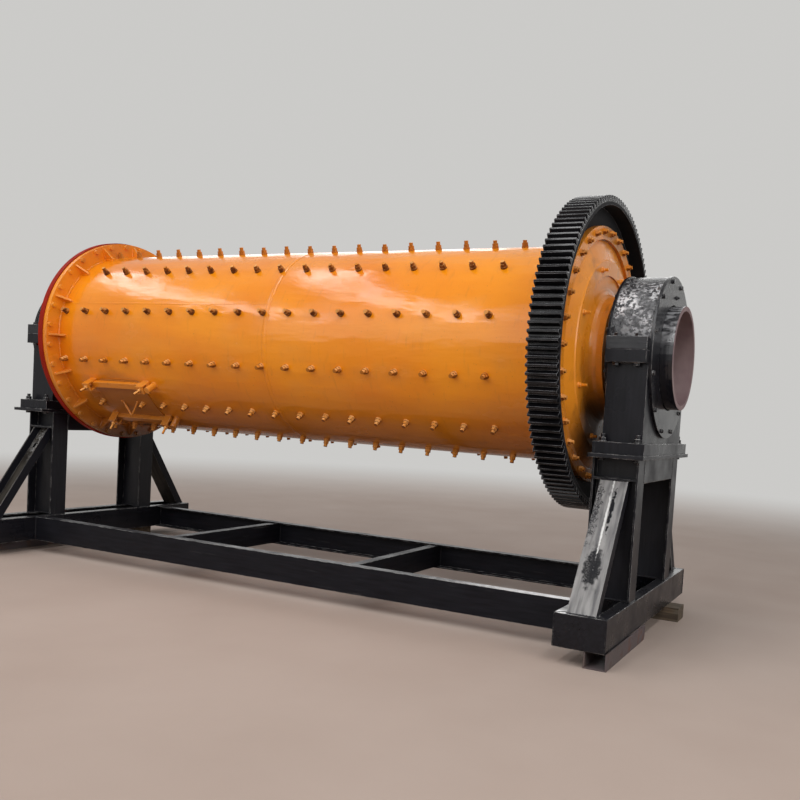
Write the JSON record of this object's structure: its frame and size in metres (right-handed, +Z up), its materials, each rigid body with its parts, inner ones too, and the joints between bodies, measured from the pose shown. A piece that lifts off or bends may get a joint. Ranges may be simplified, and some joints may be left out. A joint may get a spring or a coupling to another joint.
{
  "type": "ball mill on a skid frame",
  "caption": "Horizontal ball mill: a long bolted drum with a girth gear turns in two trunnion bearings on portals over a welded channel skid frame.",
  "frame": {"origin": "on the floor, under the middle of the mill", "axes": "+X along the mill axis from the feed end to the geared discharge end, +Z up"},
  "size_m": [5.74, 2.144, 2.952],
  "materials": {
    "bearing_steel": "ground bearing steel",
    "black_paint": "satin black enamel, scuffed to bare steel on edges and braces",
    "gear_black": "black paint with bare worn tooth edges",
    "orange_paint": "glossy orange enamel, dusty and darker underneath",
    "purple_primer": "dull purple-grey primer with rust",
    "red_primer": "matt red oxide primer",
    "timber": "rough sawn grey timber",
    "trunnion_paint": "black outside, red-brown primer on the end and in the bore"
  },
  "bodies": {
    "frame": {"channel_feet": "purple_primer", "cross_members": "black_paint", "discharge_bearing_base": "black_paint", "discharge_bearing_cap": "black_paint", "discharge_bearing_covers": "black_paint", "discharge_front_brace": "black_paint", "discharge_front_column": "black_paint", "discharge_header": "black_paint", "discharge_rear_brace": "black_paint", "discharge_rear_column": "black_paint", "discharge_roller_bearing": "bearing_steel", "discharge_skid_ends": "black_paint", "discharge_skid_sides": "black_paint", "discharge_top_plate": "black_paint", "feed_bearing_base": "black_paint", "feed_bearing_cap": "black_paint", "feed_bearing_covers": "black_paint", "feed_front_brace": "black_paint", "feed_front_column": "black_paint", "feed_header": "black_paint", "feed_rear_brace": "black_paint", "feed_rear_column": "black_paint", "feed_roller_bearing": "bearing_steel", "feed_skid_ends": "black_paint", "feed_skid_sides": "black_paint", "feed_top_plate": "black_paint", "front_beam": "black_paint", "rear_beam": "black_paint", "timber_packers": "timber"},
    "drum": {"shell": "orange_paint", "feed_shell_flange": "orange_paint", "discharge_shell_flange": "orange_paint", "feed_flange_gussets": "orange_paint", "discharge_flange_gussets": "orange_paint", "feed_head": "red_primer", "discharge_head": "orange_paint", "feed_trunnion": "trunnion_paint", "discharge_trunnion": "trunnion_paint", "girth_gear": "gear_black", "manhole_cover": "orange_paint", "manhole_clamp_bars": "orange_paint", "manhole_clamp_brackets": "orange_paint", "manhole_clamp_bolts": "orange_paint", "manhole_posts": "orange_paint", "manhole_handle": "orange_paint"}
  },
  "joints": [
    {"name": "drum_spin", "type": "hinge", "parent": "frame", "child": "drum", "pos_m": [0, 0, 1.88], "axis": [1, 0, 0], "continuous": true}
  ]
}
